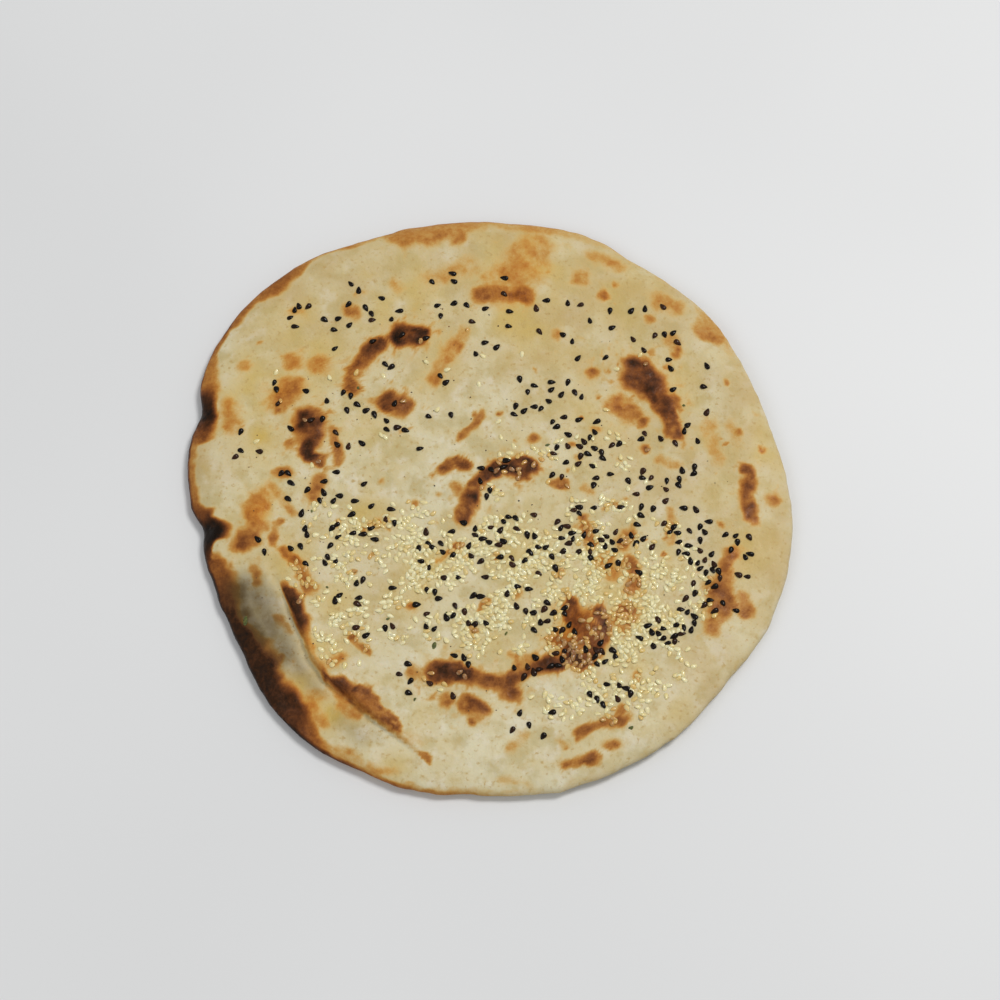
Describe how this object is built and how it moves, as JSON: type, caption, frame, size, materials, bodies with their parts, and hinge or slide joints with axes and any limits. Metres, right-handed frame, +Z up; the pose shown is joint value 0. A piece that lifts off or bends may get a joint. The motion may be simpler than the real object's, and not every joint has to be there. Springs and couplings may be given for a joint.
{
  "type": "tandoori paratha flatbread",
  "caption": "Round seeded flatbread with a folded, toasted edge, lying flat: one solid with a blistered upper crust.",
  "frame": {"origin": "under the middle of the bread's outline, on the surface that it rests on", "axes": "+Z up out of the seeded upper crust; +Y from the near rim to the far rim, the longer way across; the folded, browned side is towards -X -Y"},
  "size_m": [0.2014, 0.2084, 0.009],
  "materials": {
    "crust": "toasted wheat crust, lightly glossed with melted butter, with brown and black scorched patches",
    "black_seed": "dry black seed coat",
    "white_seed": "glossy cream sesame seed",
    "herb": "dried green herb flake"
  },
  "bodies": {
    "root": {"paratha": "crust"}
  },
  "joints": []
}
